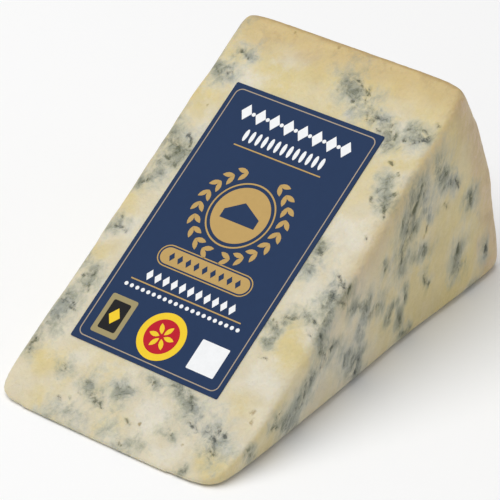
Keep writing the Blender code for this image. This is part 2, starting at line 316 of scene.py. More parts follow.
class Pen:
    """Adds nodes to a tree. Each call feeds a node's inputs and gives back one of its outputs."""

    def __init__(self, tree):
        self.tree = tree

    def add(self, kind, feeds, output=0, **settings):
        node = self.tree.nodes.new(kind)
        for name, value in settings.items():
            setattr(node, name, value)
        self.feed_all(node, feeds)
        return node.outputs[output]

    def feed(self, socket, value):
        if isinstance(value, bpy.types.NodeSocket):
            self.tree.links.new(value, socket)
        elif socket.type == "RGBA":
            socket.default_value = (*value[:3], 1.0)
        else:
            socket.default_value = value

    def feed_all(self, node, feeds):
        for name, value in feeds.items():
            self.feed(node.inputs[name], value)

    def math(self, operation, a, b=0.0, c=0.0):
        return self.add("ShaderNodeMath", {0: a, 1: b, 2: c}, operation=operation)

    def plus(self, a, b):
        return self.math("ADD", a, b)

    def minus(self, a, b):
        return self.math("SUBTRACT", a, b)

    def times(self, a, b):
        return self.math("MULTIPLY", a, b)

    def larger(self, a, b):
        return self.math("MAXIMUM", a, b)

    def vector(self, operation, a, b):
        return self.add("ShaderNodeVectorMath", {0: a, 1: b}, operation=operation)

    def scaled(self, a, factor):
        return self.add("ShaderNodeVectorMath", {0: a, "Scale": factor}, operation="SCALE")

    def ease(self, value, low, high, top=1.0):
        """0 at low rising smoothly to top at high."""
        feeds = {"Value": value, "From Min": low, "From Max": high, "To Max": top}
        return self.add("ShaderNodeMapRange", feeds, interpolation_type="SMOOTHSTEP")

    def mix(self, factor, a, b):
        return self.add("ShaderNodeMix", {0: factor, 6: a, 7: b}, output=2, data_type="RGBA")

    def mix_values(self, factor, a, b):
        return self.add("ShaderNodeMix", {0: factor, 2: a, 3: b}, data_type="FLOAT")

    def drawn_out(self, place):
        """Places squeezed along the flat ends' smears, so that noise comes out drawn along them."""
        feeds = {"Vector": place, "Axis": (0.0, 1.0, 0.0), "Angle": SMEAR_LEAN}
        turned = self.add("ShaderNodeVectorRotate", feeds)
        return self.vector("MULTIPLY", turned, (1.0, 1.0, SMEAR_SQUEEZE))

    def group(self, tree, feeds):
        """The outputs of a node group."""
        node = self.tree.nodes.new(self.tree.bl_idname.replace("NodeTree", "NodeGroup"))
        node.node_tree = tree
        self.feed_all(node, feeds)
        return node.outputs

    def noise(self, place, size, detail=2.0, roughness=0.5, output=0):
        """Noise whose lumps are about size metres across."""
        feeds = {"Vector": place, "Scale": 1.0 / size, "Detail": detail, "Roughness": roughness}
        return self.add("ShaderNodeTexNoise", feeds, output=output)

    def cells(self, place, size):
        return self.add("ShaderNodeTexVoronoi", {"Vector": place, "Scale": 1.0 / size})

    def swing(self, value, amount):
        """A 0 to 1 value turned into a swing of amount, half below zero and half above."""
        return self.times(self.minus(value, 0.5), amount)

    def stirred(self, value, noise, amount):
        """A value moved up and down by a 0 to 1 noise."""
        return self.plus(value, self.swing(noise, amount))

    def layered(self, colour, layers):
        """A colour with others laid over it in turn. A layer is (how strong, colour)."""
        for strength, tint in layers:
            colour = self.mix(strength, colour, tint)
        return colour

    def bump(self, height, distance):
        return self.add("ShaderNodeBump", {"Height": height, "Distance": distance})

    def attribute(self, name):
        return self.add("ShaderNodeAttribute", {}, output=2, attribute_name=name)


def smoothstep(value, low, high):
    part = np.clip((value - low) / (high - low), 0.0, 1.0)
    return part * part * (3.0 - 2.0 * part)


def new_object(name, mesh, material=None):
    obj = bpy.data.objects.new(name, mesh)
    bpy.context.scene.collection.objects.link(obj)
    if material:
        mesh.materials.clear()
        mesh.materials.append(material)
    return obj


def settled_mesh(obj):
    """The object's mesh with its modifiers applied. The object is removed."""
    bpy.context.view_layer.update()
    mesh = bpy.data.meshes.new_from_object(obj.evaluated_get(bpy.context.evaluated_depsgraph_get()))
    bpy.data.objects.remove(obj, do_unlink=True)
    return mesh


def dress(obj, node):
    """Fixes a finished piece to the part, in place of a CAD node."""
    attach(obj, "root")
    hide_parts(node)


def mesh_from(bm, name):
    """The bmesh as a mesh. The bmesh is freed."""
    mesh = bpy.data.meshes.new(name)
    bm.to_mesh(mesh)
    bm.free()
    return mesh


def read_vectors(items, name):
    """The named vector of each item, one to a row."""
    found = np.empty(len(items) * 3)
    items.foreach_get(name, found)
    return found.reshape(-1, 3)


def write_field(mesh, name, values):
    attribute = mesh.attributes.new(name, "FLOAT", "POINT")
    attribute.data.foreach_set("value", values.astype(np.float32))


def on_cut_face(up, across):
    """A place on the upper cut face, from mm up the face and mm across."""
    return np.array((
        AXIS_X + up * MM * math.cos(WEDGE_ANGLE),
        across * MM,
        up * MM * math.sin(WEDGE_ANGLE),
    ))


def on_near_end(along, height):
    return np.array((AXIS_X + along * MM, -WEDGE_WIDTH / 2, height * MM))


def on_far_end(along, height):
    return np.array((AXIS_X + along * MM, WEDGE_WIDTH / 2, height * MM))


def on_underside(along, across):
    return np.array((AXIS_X + along * MM, across * MM, 0.0))


def along_stroke(points, places, reach):
    """1 on a line through the places, fading over its reach."""
    nearest = np.full(len(points), np.inf)
    for start, end in zip(places, places[1:] if len(places) > 1 else places):
        run = end - start
        part = np.clip(((points - start) @ run) / max(run @ run, 1e-12), 0.0, 1.0)
        gap = np.linalg.norm(points - start - part[:, None] * run, axis=1)
        nearest = np.minimum(nearest, gap)
    return np.exp(-((nearest / reach) ** 2))


def strokes_field(points, strokes):
    """The strongest of all strokes at each point. A stroke is (reach, places)."""
    field = np.zeros(len(points))
    for reach, places in strokes:
        field = np.maximum(field, along_stroke(points, places, reach))
    return field


def placed_strokes(listed, place, breadth=1.0):
    """Strokes as (reach, places), in metres, from a list in mm."""
    return [(stroke[0] * MM * breadth, [place(*spot) for spot in stroke[1:]]) for stroke in listed]


def hidden_strokes(draw, count, place, spot):
    """Random veins for a face that has no list of its own: broad hazes, each with a few dark threads."""
    hazes, threads = [], []
    for _ in range(count):
        first = spot(draw)
        lean = draw.uniform(0.0, math.pi)
        run = draw.uniform(2.0, 7.0)
        second = (first[0] + run * math.cos(lean), first[1] + run * math.sin(lean))
        hazes.append((draw.uniform(1.2, 3.0) * MM, [place(*first), place(*second)]))
        for _ in range(draw.randint(1, 3)):
            start = [a + (b - a) * draw.random() + draw.uniform(-1.0, 1.0) for a, b in zip(first, second)]
            end = [c + draw.uniform(-1.8, 1.8) for c in start]
            threads.append((draw.uniform(0.45, 0.8) * MM, [place(*start), place(*end)]))
    return hazes, threads


def spot_on_far_end(draw):
    along = WHEEL_RADIUS / MM * math.sqrt(draw.uniform(0.02, 0.75))
    return along, draw.uniform(0.5, along * math.tan(WEDGE_ANGLE) - 0.5)


def spot_on_underside(draw):
    return draw.uniform(3.0, 90.0), draw.uniform(-27.0, 27.0)


def waved(points, size, amount):
    """Points moved about by smooth noise, so that strokes laid over them come out ragged."""
    return points + amount * np.array([noise.noise_vector(Vector(p / size)) for p in points])


def slid_to_near_end(points, sight):
    """Points slid along the line of sight to the flat plane that the near end's veins are written on."""
    return points - np.outer((points[:, 1] + WEDGE_WIDTH / 2) / sight[1], sight)


def paint_veins(mesh, points, normals, sight):
    """Writes where the veins, the yellow and chalky places and the specks lie, as attributes."""
    noise.seed_set(WAVE_SEED)
    draw = random.Random(HIDDEN_SEED)
    far_hazes, far_threads = hidden_strokes(draw, FAR_END_VEINS, on_far_end, spot_on_far_end)
    low_hazes, low_threads = hidden_strokes(draw, UNDERSIDE_VEINS, on_underside, spot_on_underside)
    hazes = placed_strokes(CUT_HAZE, on_cut_face, HAZE_BREADTH) + far_hazes + low_hazes
    threads = placed_strokes(CUT_THREADS, on_cut_face) + far_threads + low_threads
    near_end = smoothstep(-normals[:, 1], 0.15, 0.45)
    level = slid_to_near_end(points, sight)

    def with_near_end(strokes, near_strokes, strength, spread):
        shown = strokes_field(points + spread, strokes)
        return np.maximum(shown, strength * near_end * strokes_field(level + spread, near_strokes))

    near_hazes = placed_strokes(END_HAZE, on_near_end, HAZE_BREADTH)
    near_threads = placed_strokes(END_THREADS, on_near_end, END_THREAD_BREADTH)
    rough = waved(waved(points, *BROAD_WAVE), *SMALL_WAVE) - points
    ragged = waved(points, *THREAD_WAVE) - points
    write_field(mesh, "haze", with_near_end(hazes, near_hazes, 1.05, rough))
    write_field(mesh, "thread", with_near_end(threads, near_threads, 1.0, ragged))

    soft = waved(points, *SOFT_WAVE)
    radius = np.hypot(points[:, 0] - AXIS_X, points[:, 2])
    butter = 0.8 * strokes_field(soft, placed_strokes(BUTTER_PLACES, on_cut_face))
    write_field(mesh, "butter", np.maximum(butter, 0.7 * smoothstep(radius, 0.025, 0.095)))
    wide = [(reach * CHALK_BREADTH, places) for reach, places in hazes + near_hazes]
    chalk = placed_strokes(CHALK_PLACES, on_cut_face)
    write_field(mesh, "chalk", np.maximum(strokes_field(soft, chalk), 0.8 * strokes_field(soft, wide)))
    specks = placed_strokes(CUT_SPECKS, on_cut_face) + placed_strokes(END_SPECKS, on_near_end)
    write_field(mesh, "rust", strokes_field(points + ragged, specks))


def label_frame():
    """The label's place: X to its right, Y up it and Z out of its face."""
    centre = Vector(read_vectors(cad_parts["label"].data.vertices, "co").mean(axis=0))
    turn = Matrix.Rotation(-WEDGE_ANGLE, 4, "Y") @ Matrix.Rotation(LABEL_TWIST - math.pi / 2, 4, "Z")
    return Matrix.Translation(centre) @ turn


def paint_regions(mesh, points, normals):
    """Writes where the rind, the flat ends and the still places lie, as the mesh's attributes."""
    radius = np.hypot(points[:, 0] - AXIS_X, points[:, 2])
    wobble = np.array([noise.noise(Vector(p / WOBBLE_SIZE)) for p in points])
    below_rind = WHEEL_RADIUS - radius + 0.0006 * wobble
    outwards = (normals[:, 0] * (points[:, 0] - AXIS_X) + normals[:, 2] * points[:, 2]) / radius
    rind = 1.0 - smoothstep(below_rind, *RIND_DEPTHS)
    rind *= smoothstep(outwards + 0.02 * wobble, 0.955, 0.995)
    write_field(mesh, "rind", rind)
    below_cut = radius * np.sin(WEDGE_ANGLE - np.arctan2(points[:, 2], points[:, 0] - AXIS_X))
    write_field(mesh, "crusted", rind * smoothstep(below_cut, *CRUSTED_DEPTHS))
    write_field(mesh, "flat_end", smoothstep(np.abs(normals[:, 1]), 0.35, 0.85))
    from_end = np.maximum(WEDGE_WIDTH / 2 - np.abs(points[:, 1]), 0.0)
    # Partly dried paste and partly painted shade: a tan band down the flat ends' upper edges darkens the
    # rounded edge where it turns from the light.
    ridge = np.exp(-((below_cut + 0.002 * wobble) / RIDGE_DEPTH) ** 2)
    ridge *= np.exp(-((from_end / RIDGE_WIDTH) ** 2))
    dried_and_shaded_edge = 0.5 * smoothstep(radius, 0.030, 0.055) * ridge
    dried = 1.0 - smoothstep(below_rind + 0.002 * wobble, *DRIED_DEPTHS)
    write_field(mesh, "near_rind", np.maximum(dried, dried_and_shaded_edge))
    skin = (0.0007 + 0.0003 * np.abs(normals[:, 1])) * (1.0 + 0.8 * wobble)
    write_field(mesh, "rim", 1.0 - smoothstep(below_rind, skin, 2.5 * skin))

    to_label = np.array(label_frame().inverted())
    local = points @ to_label[:3, :3].T + to_label[:3, 3]
    beyond = np.maximum(np.abs(local[:, 0]) - LABEL_WIDTH / 2, np.abs(local[:, 1]) - LABEL_LENGTH / 2)
    away = np.where(local[:, 2] < -STILL_ROUND_LABEL[1], 1.0, smoothstep(beyond, *STILL_ROUND_LABEL))
    write_field(mesh, "loose", away * smoothstep(points[:, 2], *STILL_FOOT))


def fine_cheese(settings):
    """The CAD wedge as one fine, even mesh with its facets smoothed away."""
    bm = bmesh.new()
    bm.from_mesh(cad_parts["cheese"].data)
    bmesh.ops.remove_doubles(bm, verts=bm.verts, dist=1e-6)
    obj = new_object("cheese_wedge", mesh_from(bm, "cheese_wedge"))
    remesh = obj.modifiers.new("Even mesh", "REMESH")
    remesh.mode = "VOXEL"
    remesh.voxel_size = settings.mesh_size
    soften = obj.modifiers.new("No facets", "SMOOTH")
    soften.factor = 0.5
    soften.iterations = 10
    return settled_mesh(obj)


def new_tree(name, kind, inputs, outputs):
    """A tree of nodes with named sockets, its pen, its given sockets and its results' sockets."""
    tree = bpy.data.node_groups.new(name, kind)
    for way, sockets in (("INPUT", inputs), ("OUTPUT", outputs)):
        for label, socket in sockets.items():
            tree.interface.new_socket(label, in_out=way, socket_type="NodeSocket" + socket)
    given = tree.nodes.new("NodeGroupInput").outputs
    return tree, Pen(tree), given, tree.nodes.new("NodeGroupOutput").inputs


def new_geometry_tree(name, numbers):
    geometry = {"Geometry": "Geometry"}
    return new_tree(name, "GeometryNodeTree", geometry | numbers, geometry)


def settle_geometry(pen, geometry, material, result):
    """Ends a Geometry Nodes tree with real geometry and its material."""
    real = pen.add("GeometryNodeRealizeInstances", {"Geometry": geometry})
    pen.feed(result, pen.add("GeometryNodeSetMaterial", {"Geometry": real, "Material": material}))


def run_geometry_tree(obj, tree, values):
    """Puts the tree on the object, sets its inputs by name and settles the mesh."""
    modifier = obj.modifiers.new(tree.name, "NODES")
    modifier.node_group = tree
    for item in tree.interface.items_tree:
        if item.in_out == "INPUT" and item.name in values:
            modifier[item.identifier] = values[item.name]
    return settled_mesh(obj)


def crust_height(pen, place):
    """The rind's height, for its relief and its colour: sharp wrinkles, round pits and a fine grain."""
    folds = pen.math("ABSOLUTE", pen.swing(pen.noise(place, 0.0085, 3.0, 0.55), 3.2))
    pits = pen.ease(pen.cells(place, 0.0032), 0.34, 0.08)
    grain = pen.swing(pen.noise(place, 0.0012), 0.5)
    return pen.plus(pen.minus(folds, pits), grain)


def relief_tree(material):
    """Raises and sinks the surface: dents, crumb, cracks along the veins and the rind's crust."""
    kinds = dict.fromkeys(("Dents", "Crumb", "Cracks", "Crust"), "Float")
    tree, pen, given, results = new_geometry_tree("Cheese relief", kinds)

    def field(name):
        return pen.add("GeometryNodeInputNamedAttribute", {"Name": name}, data_type="FLOAT")

    place = pen.add("GeometryNodeInputPosition", {})
    rind = field("rind")
    paste = pen.minus(1.0, rind)

    def grain(size):
        plain = pen.noise(place, size, 3.0, 0.6)
        smeared = pen.noise(pen.drawn_out(place), size, 3.0, 0.6)
        return pen.mix_values(field("flat_end"), plain, smeared)

    dents = pen.times(pen.swing(pen.noise(place, 0.013, 1.0), 2.0), given["Dents"])
    dents = pen.times(dents, pen.minus(1.0, field("near_rind")))
    crumb = pen.times(pen.swing(grain(0.0020), 2.0), given["Crumb"])
    crack = pen.ease(pen.stirred(field("thread"), grain(0.0014), 2.0), 0.5, 1.2)
    crack = pen.times(crack, given["Cracks"])
    flesh = pen.minus(pen.plus(dents, crumb), crack)

    crust = pen.minus(crust_height(pen, place), 0.35)
    crust = pen.times(crust, given["Crust"])

    lift = pen.math("MULTIPLY_ADD", flesh, paste, pen.times(crust, field("crusted")))
    lift = pen.times(lift, field("loose"))
    offset = pen.scaled(pen.add("GeometryNodeInputNormal", {}), lift)
    moved = pen.add("GeometryNodeSetPosition", {"Geometry": given["Geometry"], "Offset": offset})
    settle_geometry(pen, moved, material, results[0])
    return tree


def mottle_group():
    """A colour that drifts lighter and darker over a surface, with the height of its fine grain."""
    tree = bpy.data.node_groups.get("Mottle")
    if tree:
        return tree
    inputs = {"Vector": "Vector", "Color": "Color", "Size": "Float", "Amount": "Float"}
    outputs = {"Color": "Color", "Height": "Float"}
    tree, pen, given, results = new_tree("Mottle", "ShaderNodeTree", inputs, outputs)
    scaled = pen.scaled(given["Vector"], pen.math("DIVIDE", 1.0, given["Size"]))
    broad = pen.noise(scaled, 1.0, 3.0, 0.6)
    fine = pen.noise(scaled, 0.16, 3.0, 0.6)
    level = pen.plus(broad, pen.times(fine, 0.6))
    change = pen.times(pen.minus(level, 0.8), given["Amount"])
    pen.feed(results["Color"], pen.scaled(given["Color"], pen.plus(change, 1.0)))
    pen.feed(results["Height"], fine)
    return tree


def grain_group():
    """The noises that break up the veins, from broad drifts to thin threads and specks."""
    inputs, outputs = {"Vector": "Vector"}, dict.fromkeys(GRAIN_KINDS, "Float")
    tree, pen, given, results = new_tree("Vein grain", "ShaderNodeTree", inputs, outputs)
    place = given["Vector"]
    shove = pen.noise(place, 0.0045, 2.0, 0.6, output=1)
    shove = pen.scaled(pen.vector("SUBTRACT", shove, (0.5, 0.5, 0.5)), 0.0032)
    crumpled = pen.vector("ADD", place, shove)
    thread = pen.math("ABSOLUTE", pen.swing(pen.noise(crumpled, 0.0024, 3.0, 0.6), 1.0))
    pen.feed(results["Broad"], pen.noise(place, 0.0120, 4.0, 0.6))
    pen.feed(results["Cloud"], pen.noise(crumpled, 0.0048, 6.0, 0.66))
    pen.feed(results["Fine"], pen.noise(crumpled, 0.0013, 4.0, 0.68))
    pen.feed(results["Thread"], pen.ease(thread, 0.045, 0.0))
    pen.feed(results["Speck"], pen.ease(pen.cells(crumpled, 0.0013), 0.34, 0.10))
    return tree


def new_material(name):
    """A material with its pen and its Principled shader."""
    material = bpy.data.materials.new(name)
    material.use_nodes = True
    return material, Pen(material.node_tree), material.node_tree.nodes["Principled BSDF"]


def object_place(pen):
    return pen.add("ShaderNodeTexCoord", {}, output="Object")


def mottled(pen, place, tint, size, amount):
    feeds = {"Vector": place, "Color": tint, "Size": size, "Amount": amount}
    return pen.group(mottle_group(), feeds)


def rind_colour(pen, place, settings):
    """The rind's colour: dark in its pits, with ochre patches and a powdery bloom."""
    height = crust_height(pen, place)
    powder = pen.stirred(height, pen.noise(place, 0.0060, 5.0, 0.7), 3.0)
    return pen.layered(settings.rind, (
        (pen.ease(height, 0.9, -0.2), settings.rind_pits),
        (pen.ease(pen.noise(place, 0.0110, 5.0, 0.7), 0.40, 0.62, 0.55), settings.rind_ochre),
        (pen.ease(powder, 0.15, 1.30, 0.75), settings.rind_bloom),
    ))


def cheese_material(settings):
    """Ivory paste with butter and chalk places, blue veins, specks, painted highlights on the flat ends'
    veins, tan edges that are partly painted shade, and the rind.
    """
    material, pen, shader = new_material("Blue cheese")
    place = object_place(pen)
    grains = grain_group()
    plain = pen.group(grains, {"Vector": place})
    smeared = pen.group(grains, {"Vector": pen.drawn_out(place)})
    end = pen.attribute("flat_end")
    broad, cloud, fine, veining, speck = (
        pen.mix_values(end, plain[name], smeared[name]) for name in GRAIN_KINDS
    )
    haze = pen.attribute("haze")
    thread = pen.attribute("thread")
    grainy = pen.stirred(pen.stirred(haze, cloud, 2.2), fine, 1.8)
    misty = pen.stirred(pen.stirred(pen.math("POWER", haze, 0.30), cloud, 2.2), fine, 0.8)
    around = pen.math("POWER", thread, 0.35)
    smudge = pen.ease(pen.stirred(around, fine, 2.2), 0.50, 1.40, 0.50)
    net = pen.times(veining, pen.ease(grainy, 0.60, 1.40, 0.70))
    specks = pen.times(speck, pen.ease(grainy, 0.55, 1.30, 0.60))
    core = pen.ease(pen.stirred(thread, fine, 3.2), 0.52, 1.22)
    dark = pen.larger(pen.larger(pen.larger(core, net), smudge), specks)
    dark = pen.times(dark, pen.ease(pen.larger(haze, around), 0.10, 0.60))

    yellow = pen.math("MULTIPLY_ADD", end, 0.12, pen.stirred(pen.attribute("butter"), broad, 2.0))
    white = pen.math("MULTIPLY_ADD", end, -0.12, pen.stirred(pen.attribute("chalk"), cloud, 2.5))
    near_rind = pen.attribute("near_rind")
    browned = pen.times(near_rind, pen.ease(cloud, 0.48, 0.62, 0.26))
    streaks = pen.times(pen.times(near_rind, end), pen.ease(fine, 0.48, 0.64, 0.50))
    haze_colour = pen.mix(pen.ease(broad, 0.38, 0.52), settings.blue_bloom, settings.bloom)
    rust = pen.stirred(pen.attribute("rust"), fine, 2.0)
    mould = pen.mix(pen.ease(broad, 0.41, 0.54), settings.mould, settings.olive)
    # Painted highlights: small pale spots in the vein haze stand in for wet glints. They are laid on the
    # flat ends below, in the chalk colour.
    painted_glints = pen.times(pen.ease(fine, 0.37, 0.27, 0.6), pen.ease(haze, 0.30, 0.80))
    rind = pen.attribute("rind")
    paste = pen.layered(settings.ivory, (
        (pen.ease(yellow, 0.0, 1.0), settings.butter),
        (pen.ease(white, 0.1, 1.1, 0.85), settings.chalk),
        # Tan dried paste near the rind; along the flat ends' upper edges it is partly painted shade
        (pen.ease(near_rind, 0.05, 1.0, 0.8), pen.mix(end, settings.tan, settings.rosy)),
        (browned, settings.rim),
        (streaks, settings.flake),
        (pen.ease(misty, 0.28, 1.20, 0.72), haze_colour),
        (pen.ease(grainy, 0.35, 1.50, 0.58), settings.slate),
        (pen.ease(rust, 0.4, 1.1, 0.7), settings.rust),
        (pen.times(dark, 0.72), mould),
        # Painted highlights: the wet glints on the flat ends' veins
        (pen.times(painted_glints, end), settings.chalk),
        (pen.times(pen.attribute("rim"), 0.6), settings.rim),
        (rind, rind_colour(pen, place, settings)),
    ))
    mottle = mottled(pen, place, paste, 0.0050, 0.22)
    rough = pen.plus(pen.ease(fine, 0.3, 0.7, 0.16), pen.times(rind, 0.35))
    grain = pen.minus(mottle["Height"], pen.times(dark, 0.5))
    pen.feed_all(shader, {
        "Base Color": mottle["Color"],
        "Roughness": pen.plus(rough, 0.42),
        "Subsurface Weight": 0.35,
        "Subsurface Radius": (1.0, 0.72, 0.36),
        "Subsurface Scale": 0.0022,
        "Specular IOR Level": 0.32,
        "Normal": pen.bump(grain, 0.00022),
    })
    return material


def print_material(name, tint):
    """Ink or printed paper: a nearly even colour over the paper's fine grain."""
    material, pen, shader = new_material(name)
    mottle = mottled(pen, object_place(pen), tint, 0.0016, 0.12)
    pen.feed_all(shader, {
        "Base Color": mottle["Color"],
        "Roughness": 0.6,
        "Specular IOR Level": 0.12,
        "Normal": pen.bump(mottle["Height"], PAPER_GRAIN),
    })
    return material


def arc_points(centre, radius, start, end, steps):
    """Points along an arc, in degrees."""
    angles = (math.radians(start + (end - start) * i / steps) for i in range(steps + 1))
    return [(centre[0] + radius * math.cos(a), centre[1] + radius * math.sin(a)) for a in angles]


def rounded_box(width, height, radius, centre=(0.0, 0.0), steps=6):
    """A rectangle with round corners, counter-clockwise from its upper right corner."""
    points = []
    for turn, (x, y) in enumerate(((1, 1), (-1, 1), (-1, -1), (1, -1))):
        corner = (centre[0] + x * (width / 2 - radius), centre[1] + y * (height / 2 - radius))
        points += arc_points(corner, radius, 90 * turn, 90 * turn + 90, steps)
    return points


def disc(radius, centre=(0.0, 0.0), steps=64):
    return arc_points(centre, radius, 0, 360, steps)[:-1]


def band_between(outer, inner):
    """Quads between two outlines with the same number of points."""
    count = len(outer)
    return [[outer[i], outer[(i + 1) % count], inner[(i + 1) % count], inner[i]] for i in range(count)]


def flat_mesh(shapes):
    """Flat faces in the label's plane, from outlines in mm."""
    bm = bmesh.new()
    for shape in shapes:
        bm.faces.new([bm.verts.new((x * MM, y * MM, 0.0)) for x, y in shape])
    bmesh.ops.remove_doubles(bm, verts=bm.verts, dist=1e-7)
    return mesh_from(bm, "flat_shapes")


def laid_on_label(name, mesh, low, high, material):
    """Gives flat faces their thickness, from low to high above the cheese, and lays them on the label."""
    bm = bmesh.new()
    bm.from_mesh(mesh)
    bmesh.ops.recalc_face_normals(bm, faces=bm.faces)
    flipped = [f for f in bm.faces if f.normal.z < 0]
    bmesh.ops.reverse_faces(bm, faces=flipped)
    bmesh.ops.solidify(bm, geom=bm.faces[:], thickness=high - low)
    bmesh.ops.recalc_face_normals(bm, faces=bm.faces)
    lowest = min(v.co.z for v in bm.verts)
    lift = low - lowest - LABEL_ABOVE_CHEESE
    bm.transform(label_frame() @ Matrix.Translation((0.0, 0.0, lift)))
    dress(new_object(name, mesh_from(bm, name), material), "label")


def printed(name, mesh, material, layer=0):
    """Prints flat faces on the paper. A higher layer overprints a lower one."""
    paper_top = PAPER_LIFT + bpy.context.scene.label_settings.thickness
    high = paper_top + INK * (layer + 1)
    laid_on_label(name, mesh, paper_top - INK_SUNK, high, material)


def repeated_shape_tree(material, on_arc):
    """Repeats a pointed leaf or lozenge along an arc or a line, each turned to the path."""
    names = ("Radius", "Start", "End", "Length", "Width", "Lean", "Point")
    kinds = dict.fromkeys(names, "Float") | dict.fromkeys(("Count", "Steps"), "Int")
    tree, pen, given, results = new_geometry_tree("Repeated shape", kinds)
    feeds = {"Vertices": given["Steps"], "Radius": 1.0}
    shape = pen.add("GeometryNodeMeshCircle", feeds, fill_type="NGON")
    place = pen.add("GeometryNodeInputPosition", {})
    place = pen.add("ShaderNodeSeparateXYZ", {0: place}).node.outputs
    pinch = pen.math("POWER", pen.math("ABSOLUTE", place["Y"]), given["Point"])
    across = pen.times(pen.math("SIGN", place["Y"]), pinch)
    across = pen.times(across, pen.times(given["Width"], 0.5))
    along = pen.times(place["X"], pen.times(given["Length"], 0.5))
    outline = pen.add("ShaderNodeCombineXYZ", {"X": along, "Y": across, "Z": 0.0})
    shape = pen.add("GeometryNodeSetPosition", {"Geometry": shape, "Position": outline})

    points = pen.add("GeometryNodePoints", {"Count": given["Count"]})
    index = pen.add("GeometryNodeInputIndex", {})
    last = pen.larger(pen.minus(given["Count"], 1.0), 1.0)
    part = pen.math("DIVIDE", index, last)
    reach = pen.minus(given["End"], given["Start"])
    value = pen.math("MULTIPLY_ADD", part, reach, given["Start"])
    if on_arc:
        x = pen.times(pen.math("COSINE", value), given["Radius"])
        y = pen.times(pen.math("SINE", value), given["Radius"])
        turn = pen.plus(value, pen.plus(given["Lean"], math.pi / 2))
    else:
        x, y, turn = value, given["Radius"], given["Lean"]
    spot = pen.add("ShaderNodeCombineXYZ", {"X": x, "Y": y, "Z": 0.0})
    points = pen.add("GeometryNodeSetPosition", {"Geometry": points, "Position": spot})
    rotation = pen.add("ShaderNodeCombineXYZ", {"X": 0.0, "Y": 0.0, "Z": turn})
    feeds = {"Points": points, "Instance": shape, "Rotation": rotation}
    settle_geometry(pen, pen.add("GeometryNodeInstanceOnPoints", feeds), material, results[0])
    return tree


def repeated_shapes(material, on_arc=False, **values):
    """The flat faces of a repeated shape, from mm and radians."""
    tree = repeated_shape_tree(material, on_arc)
    lengths = ("Radius", "Length", "Width") if on_arc else ("Radius", "Length", "Width", "Start", "End")
    scaled = {key: value * MM if key in lengths else value for key, value in values.items()}
    return run_geometry_tree(new_object("row", bpy.data.meshes.new("row")), tree, scaled)


def straight_row(material, count, height, half_span, size, corners):
    """A row of upright rounds or lozenges, evenly spaced across the label."""
    return repeated_shapes(
        material, Count=count, Radius=height, Start=-half_span, End=half_span, Length=size[0],
        Width=size[1], Lean=0.0, Steps=corners, Point=1.0,
    )


def joined_meshes(meshes):
    bm = bmesh.new()
    for mesh in meshes:
        bm.from_mesh(mesh)
    return mesh_from(bm, "joined_shapes")


class CHEESE_OT_wedge(bpy.types.Operator):
    """Makes the wedge of paste, veins and rind"""
    bl_idname = "cheese.wedge"
    bl_label = "Wedge"

    def execute(self, context):
        settings = context.scene.cheese_settings
        material = cheese_material(settings)
        mesh = fine_cheese(settings)
        points = read_vectors(mesh.vertices, "co")
        normals = read_vectors(mesh.vertex_normals, "vector")
        paint_veins(mesh, points, normals, np.array(towards_camera(context.scene.stage_settings)))
        paint_regions(mesh, points, normals)
        values = {
            "Dents": settings.dents, "Crumb": settings.crumb,
            "Cracks": settings.cracks, "Crust": settings.crust,
        }
        mesh = run_geometry_tree(new_object("relief", mesh), relief_tree(material), values)
        mesh.shade_smooth()
        dress(new_object("cheese_wedge_fine", mesh), "cheese")
        return {"FINISHED"}


class CHEESE_OT_label_paper(bpy.types.Operator):
    """Makes the label's sheet of navy paper"""
    bl_idname = "cheese.label_paper"
    bl_label = "Label paper"

    def execute(self, context):
        settings = context.scene.label_settings
        outline = rounded_box(LABEL_WIDTH / MM, LABEL_LENGTH / MM, settings.corner / MM, steps=3)
        material = print_material("Navy paper", settings.navy)
        paper_top = PAPER_LIFT + settings.thickness
        laid_on_label("label_paper", flat_mesh([outline]), PAPER_LIFT, paper_top, material)
        return {"FINISHED"}


class CHEESE_OT_label_frame(bpy.types.Operator):
    """Prints the thin gold line round the label's edge"""
    bl_idname = "cheese.label_frame"
    bl_label = "Label frame line"

    def execute(self, context):
        inset, line, radius = 1.0, 0.22, 1.6
        width, height = LABEL_WIDTH / MM - 2 * inset, LABEL_LENGTH / MM - 2 * inset
        outer = rounded_box(width, height, radius)
        inner = rounded_box(width - 2 * line, height - 2 * line, radius - line)
        gold = print_material("Gold ink line", context.scene.label_settings.line)
        printed("label_frame_line", flat_mesh(band_between(outer, inner)), gold)
        return {"FINISHED"}


class CHEESE_OT_label_wreath(bpy.types.Operator):
    """Prints a wreath of leaves round a gold disc that bears a plain wedge shape"""
    bl_idname = "cheese.label_wreath"
    bl_label = "Label wreath"

    def execute(self, context):
        settings = context.scene.label_settings
        centre = (0.0, 5.0)
        gold = print_material("Gold ink", settings.gold)
        navy = print_material("Navy ink", settings.navy)
        sprigs = [
            repeated_shapes(
                gold, on_arc=True, Count=9, Radius=radius, Start=math.radians(-90 + side * 14),
                End=math.radians(-90 + side * 150), Length=2.7, Width=1.15, Lean=side * lean,
                Steps=ROUND, Point=2.0,
            )
            for side in (-1, 1) for radius, lean in ((9.3, -0.55), (10.7, 0.55))
        ]
        wreath = joined_meshes(sprigs)
        wreath.transform(Matrix.Translation((centre[0] * MM, centre[1] * MM, 0.0)))
        printed("label_wreath", wreath, gold)
        ring = band_between(disc(7.6, centre), disc(7.25, centre))
        printed("label_medallion", flat_mesh([disc(6.5, centre)] + ring), gold)
        wedge = [(-4.2, 3.2), (4.4, 3.2), (4.4, 5.4), (-0.5, 7.9), (-4.2, 5.2)]
        printed("label_wedge_mark", flat_mesh([wedge]), navy, layer=1)
        return {"FINISHED"}


